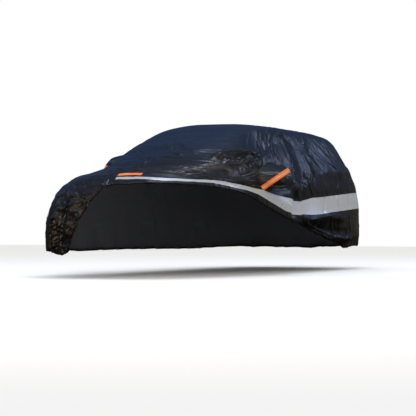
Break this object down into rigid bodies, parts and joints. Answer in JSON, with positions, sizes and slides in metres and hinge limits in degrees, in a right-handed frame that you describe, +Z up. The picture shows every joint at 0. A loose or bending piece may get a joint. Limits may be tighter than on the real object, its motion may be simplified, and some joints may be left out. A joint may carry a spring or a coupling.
{
  "type": "car cover",
  "caption": "Fitted cloth cover for a hatchback, shaped as it hangs over the car with its near front quarter swept up over the bonnet.",
  "frame": {"origin": "just under the roof cloth, on the centre line and above the middle of the length", "axes": "+X towards the near (lifted) side, +Y towards the rear, +Z up"},
  "size_m": [2.1082, 4.6802, 1.3945],
  "materials": {
    "coated_cloth": "satin coated cloth, navy blue",
    "silver_tape": "silver reflective tape",
    "orange_tape": "orange tape with a silver centre line"
  },
  "bodies": {
    "root": {"top_panel": "coated_cloth", "near_side_panel": "coated_cloth", "far_side_panel": "coated_cloth", "skirt": "coated_cloth", "near_mirror_pocket": "coated_cloth", "far_mirror_pocket": "coated_cloth", "silver_band": "silver_tape", "near_pocket_strip": "orange_tape", "far_pocket_strip": "orange_tape", "bonnet_strip": "orange_tape", "far_corner_strip": "orange_tape"}
  },
  "joints": []
}
